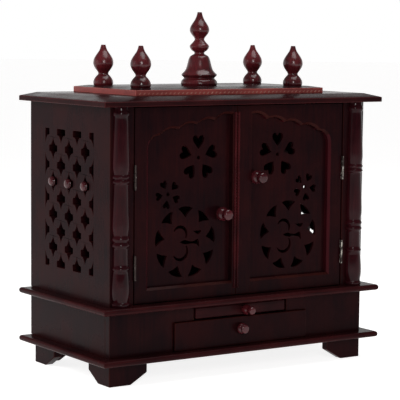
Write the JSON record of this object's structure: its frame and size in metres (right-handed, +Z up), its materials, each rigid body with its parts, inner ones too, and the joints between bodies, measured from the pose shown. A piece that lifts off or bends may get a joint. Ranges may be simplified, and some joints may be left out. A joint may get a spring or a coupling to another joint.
{
  "type": "household altar cabinet",
  "caption": "Dark lacquered wooden home shrine cabinet with pierced double doors, lattice sides, a pull-out tray, a drawer, turned columns and roof finials.",
  "frame": {"origin": "on the floor, under the middle of the whole width and depth", "axes": "+X to the right seen from the front, +Y to the back, +Z up"},
  "size_m": [0.61, 0.323, 0.659],
  "materials": {
    "lacquered_wood": "semi-gloss lacquer, near-black mahogany",
    "turned_wood": "semi-gloss lacquer, maroon",
    "plain_wood": "plain, unlacquered",
    "hinge_steel": "polished"
  },
  "bodies": {
    "carcass": {"foot_front_left": "lacquered_wood", "foot_front_right": "lacquered_wood", "foot_back_left": "lacquered_wood", "foot_back_right": "lacquered_wood", "lower_ledge": "lacquered_wood", "upper_ledge": "lacquered_wood", "base_side_left": "lacquered_wood", "base_side_right": "lacquered_wood", "base_back": "lacquered_wood", "base_front": "lacquered_wood", "drawer_guide_left": "plain_wood", "drawer_guide_right": "plain_wood", "tray_runner_left": "plain_wood", "tray_runner_right": "plain_wood", "side_panel_left": "lacquered_wood", "side_panel_right": "lacquered_wood", "side_stud_left_1": "turned_wood", "side_stud_left_2": "turned_wood", "side_stud_left_3": "turned_wood", "side_stud_right_1": "turned_wood", "side_stud_right_2": "turned_wood", "side_stud_right_3": "turned_wood", "back_panel": "lacquered_wood", "front_stile_left": "lacquered_wood", "front_stile_right": "lacquered_wood", "column_left": "turned_wood", "column_right": "turned_wood", "hinge_left_1_fixed_leaf": "hinge_steel", "hinge_left_2_fixed_leaf": "hinge_steel", "hinge_right_1_fixed_leaf": "hinge_steel", "hinge_right_2_fixed_leaf": "hinge_steel", "cornice": "lacquered_wood", "raised_board": "lacquered_wood", "finial_front_left": "turned_wood", "finial_front_right": "turned_wood", "finial_back_left": "turned_wood", "finial_back_right": "turned_wood", "finial_centre": "turned_wood"},
    "door_left": {"door_left_frame": "lacquered_wood", "door_left_meeting_stile": "lacquered_wood", "door_left_panel": "lacquered_wood", "door_left_bead": "turned_wood", "door_left_knob": "turned_wood", "hinge_left_1_door_leaf": "hinge_steel", "hinge_left_2_door_leaf": "hinge_steel"},
    "door_right": {"door_right_frame": "lacquered_wood", "door_right_meeting_stile": "lacquered_wood", "door_right_panel": "lacquered_wood", "door_right_bead": "turned_wood", "door_right_knob": "turned_wood", "hinge_right_1_door_leaf": "hinge_steel", "hinge_right_2_door_leaf": "hinge_steel"},
    "tray": {"tray_board": "lacquered_wood", "tray_knob": "turned_wood"},
    "drawer": {"drawer_front": "lacquered_wood", "drawer_box": "plain_wood", "drawer_knob": "turned_wood"}
  },
  "joints": [
    {"name": "door_left_hinge", "type": "hinge", "parent": "carcass", "child": "door_left", "pos_m": [-0.2305, -0.1331, 0.3], "axis": [0, 0, -1], "range_deg": [0, 140]},
    {"name": "door_right_hinge", "type": "hinge", "parent": "carcass", "child": "door_right", "pos_m": [0.2305, -0.1331, 0.3], "axis": [0, 0, 1], "range_deg": [0, 140]},
    {"name": "tray_slide", "type": "slide", "parent": "carcass", "child": "tray", "axis": [0, -1, 0], "range_m": [0, 0.15]},
    {"name": "drawer_slide", "type": "slide", "parent": "carcass", "child": "drawer", "axis": [0, -1, 0], "range_m": [0, 0.2]}
  ]
}
